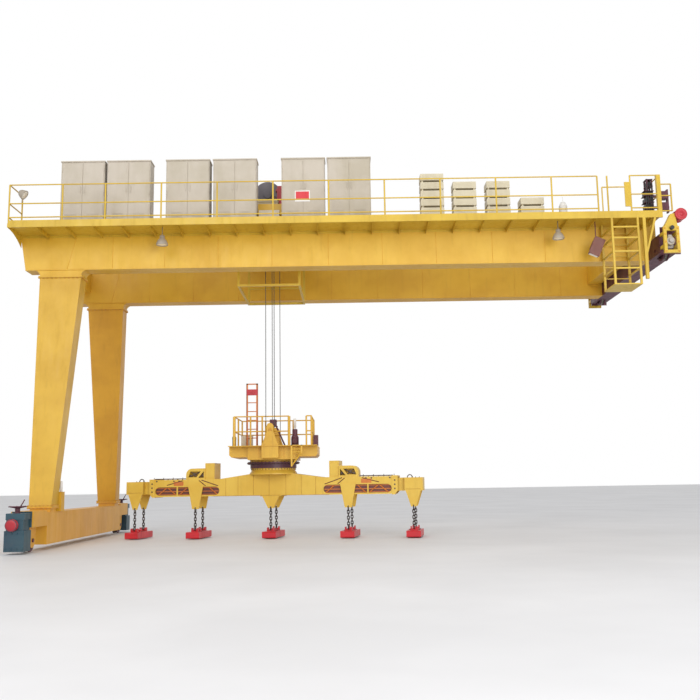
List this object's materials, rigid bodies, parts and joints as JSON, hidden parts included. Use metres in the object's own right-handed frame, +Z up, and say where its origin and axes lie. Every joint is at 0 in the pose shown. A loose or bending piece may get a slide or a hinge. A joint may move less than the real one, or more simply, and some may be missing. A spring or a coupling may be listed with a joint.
{
  "type": "semi-gantry crane with slewing magnet beam",
  "caption": "Yellow double-girder semi-gantry crane with a trolley, a hoisted platform and a slewing telescopic beam that carries lifting magnets on chains.",
  "frame": {"origin": "middle of the flat underside of the runway carriage, above the runway rail", "axes": "+X from the legs to the runway along the girders, +Y to the rear along the rails, +Z up"},
  "size_m": [17.041, 9.42, 9.84],
  "materials": {
    "girder_yellow": "satin",
    "frame_yellow": "satin",
    "maroon_paint": "satin",
    "red_paint": "satin",
    "cabinet_beige": "satin",
    "teal_paint": "satin",
    "worn_steel": "satin",
    "black_rubber": "matte"
  },
  "bodies": {
    "crane": {"front_girder": "girder_yellow", "rear_girder": "girder_yellow", "end_ties": "girder_yellow", "trolley_rails": "worn_steel", "front_leg": "girder_yellow", "rear_leg": "girder_yellow", "ground_beam": "girder_yellow", "ground_drives": "teal_paint", "runway_carriage": "maroon_paint", "runway_drives": "frame_yellow", "buffers": "black_rubber", "front_walkway": "frame_yellow", "rear_walkway": "frame_yellow", "front_guard_rail": "frame_yellow", "rear_guard_rail": "frame_yellow", "control_cabinets": "cabinet_beige", "resistor_racks": "cabinet_beige", "access_cage": "frame_yellow", "work_lamps": "worn_steel"},
    "front_ground_wheel": {"front_ground_wheel": "maroon_paint"},
    "rear_ground_wheel": {"rear_ground_wheel": "maroon_paint"},
    "front_runway_wheel": {"front_runway_wheel": "maroon_paint"},
    "rear_runway_wheel": {"rear_runway_wheel": "maroon_paint"},
    "trolley": {"trolley_frame": "frame_yellow", "trolley_wheels": "maroon_paint", "rope_drum": "worn_steel", "hoist_drive": "maroon_paint", "trolley_cage": "frame_yellow", "hoist_ropes": "worn_steel"},
    "hanger": {"hanger_platform": "frame_yellow", "hanger_rail": "frame_yellow", "sheave_blocks": "frame_yellow", "slew_drive": "maroon_paint", "hanger_ladder": "frame_yellow"},
    "beam": {"magnet_beam": "girder_yellow", "slewing_ring": "maroon_paint", "arm_drives": "frame_yellow", "inner_chains": "worn_steel", "inner_magnets": "red_paint"},
    "left_slider": {"left_arm": "girder_yellow", "left_chains": "worn_steel", "left_magnet": "red_paint"},
    "right_slider": {"right_arm": "girder_yellow", "right_chains": "worn_steel", "right_magnet": "red_paint"}
  },
  "joints": [
    {"name": "front_ground_wheel_roll", "type": "hinge", "parent": "crane", "child": "front_ground_wheel", "pos_m": [-15.6, -3.83, -6.79], "axis": [1, 0, 0], "continuous": true},
    {"name": "rear_ground_wheel_roll", "type": "hinge", "parent": "crane", "child": "rear_ground_wheel", "pos_m": [-15.6, 3.83, -6.79], "axis": [1, 0, 0], "continuous": true},
    {"name": "front_runway_wheel_roll", "type": "hinge", "parent": "crane", "child": "front_runway_wheel", "pos_m": [0, -2.78, 0.14], "axis": [1, 0, 0], "continuous": true},
    {"name": "rear_runway_wheel_roll", "type": "hinge", "parent": "crane", "child": "rear_runway_wheel", "pos_m": [0, 2.78, 0.14], "axis": [1, 0, 0], "continuous": true},
    {"name": "trolley_travel", "type": "slide", "parent": "crane", "child": "trolley", "axis": [1, 0, 0], "range_m": [-0.8, 5.8]},
    {"name": "hoist", "type": "slide", "parent": "trolley", "child": "hanger", "axis": [0, 0, 1], "range_m": [0, 3.3], "deforming": ["hoist_ropes"]},
    {"name": "slew", "type": "hinge", "parent": "hanger", "child": "beam", "pos_m": [-10.24, 0, -5.19], "axis": [0, 0, 1], "range_deg": [-81, 99]},
    {"name": "left_extend", "type": "slide", "parent": "beam", "child": "left_slider", "axis": [-0.9877, 0.1564, 0], "range_m": [-0.15, 0.8]},
    {"name": "right_extend", "type": "slide", "parent": "beam", "child": "right_slider", "axis": [0.9877, -0.1564, 0], "range_m": [-0.15, 0.8]}
  ]
}
